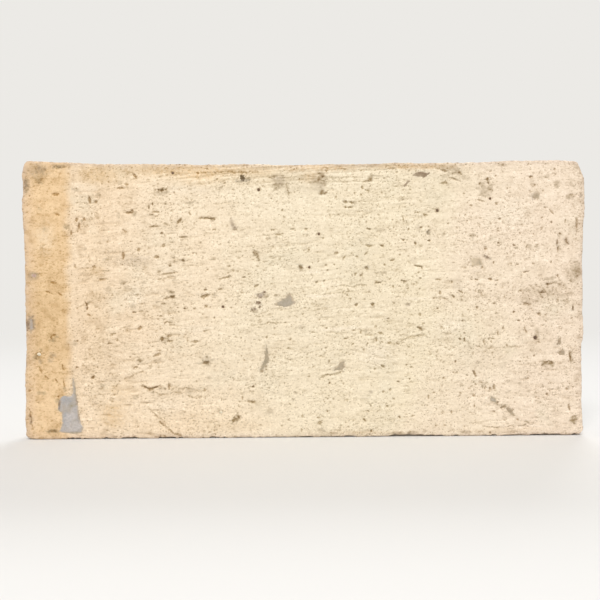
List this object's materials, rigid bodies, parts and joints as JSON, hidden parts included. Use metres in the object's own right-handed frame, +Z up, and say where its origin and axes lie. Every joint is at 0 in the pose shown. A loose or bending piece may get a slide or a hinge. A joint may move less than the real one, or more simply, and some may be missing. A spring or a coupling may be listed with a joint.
{
  "type": "ceramic wall tile",
  "caption": "Oblong old ceramic tile, glazed on one side, with a scraped unglazed back, worn edges, a broken corner and scraps of bedding mortar.",
  "frame": {"origin": "under the middle of the slab, on the surface that the tile's long edge stands on", "axes": "+Z up; +X along the tile's length, to the right as one looks at the unglazed back; +Y from the back to the glazed face"},
  "size_m": [0.3066, 0.012, 0.152],
  "materials": {
    "clay": "dry unglazed cream clay, scraped lengthwise",
    "glaze": "plain off-white crackled glaze",
    "mortar_grey": "dull blue-grey bedding mortar",
    "mortar_buff": "dull grey-brown bedding mortar",
    "iron_grain": "dark brown, fused",
    "lime_grain": "chalky white"
  },
  "bodies": {
    "root": {"biscuit_body": "clay", "face_glaze": "glaze", "mortar_lower_left": "mortar_grey", "mortar_centre_wedge": "mortar_buff", "mortar_sickle": "mortar_buff", "mortar_right_wedge": "mortar_buff", "mortar_top_right": "mortar_buff", "mortar_small_wedge": "mortar_buff", "mortar_right_spot": "mortar_buff", "mortar_right_square": "mortar_buff", "mortar_right_strip": "mortar_buff", "mortar_right_patch": "mortar_buff", "mortar_lower_green": "mortar_grey", "mortar_diagonal": "mortar_buff", "mortar_left_edge": "mortar_grey", "mortar_left_upper": "mortar_grey", "mortar_top_smear": "mortar_grey", "mortar_centre_speck": "mortar_grey", "iron_grain_1": "iron_grain", "iron_grain_2": "iron_grain", "iron_grain_3": "iron_grain", "iron_grain_4": "iron_grain", "iron_grain_5": "iron_grain", "iron_grain_6": "iron_grain", "iron_grain_7": "iron_grain", "iron_grain_8": "iron_grain", "lime_grain_1": "lime_grain", "lime_grain_2": "lime_grain"}
  },
  "joints": []
}
